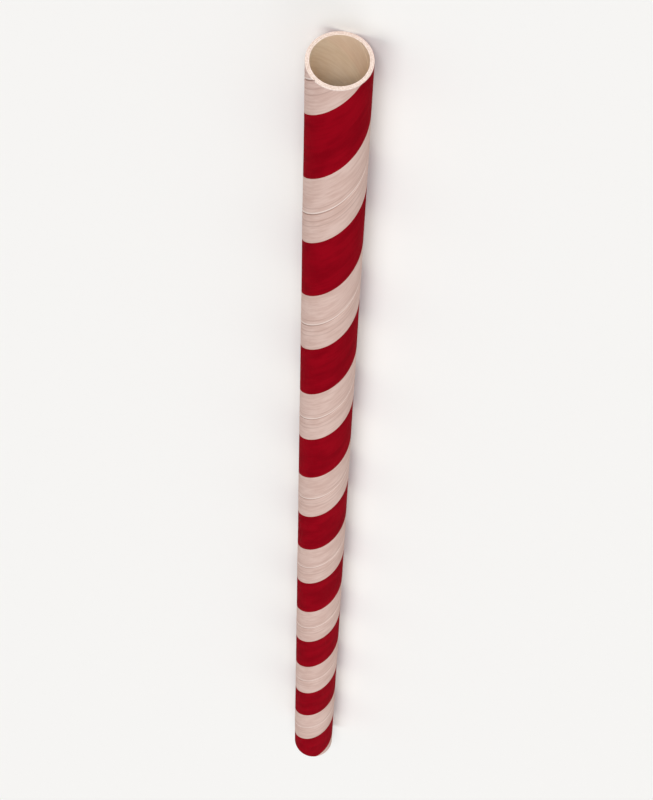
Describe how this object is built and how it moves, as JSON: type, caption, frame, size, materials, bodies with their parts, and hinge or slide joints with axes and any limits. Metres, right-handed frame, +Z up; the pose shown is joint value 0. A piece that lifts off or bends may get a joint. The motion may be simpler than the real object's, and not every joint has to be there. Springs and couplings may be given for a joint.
{
  "type": "paper drinking straw",
  "caption": "Straight paper drinking straw: a thin spiral-wound tube open at both ends, cut square, with a red helical stripe on white paper.",
  "frame": {"origin": "middle of the line along which the straw rests on the table, so the tube's axis is 3 mm above it", "axes": "+X along the straw, from the end called the mouth to the far end; +Z up"},
  "size_m": [0.197, 0.006, 0.006],
  "materials": {
    "striped_paper": "matte"
  },
  "bodies": {
    "root": {"straw_tube": "striped_paper"}
  },
  "joints": []
}
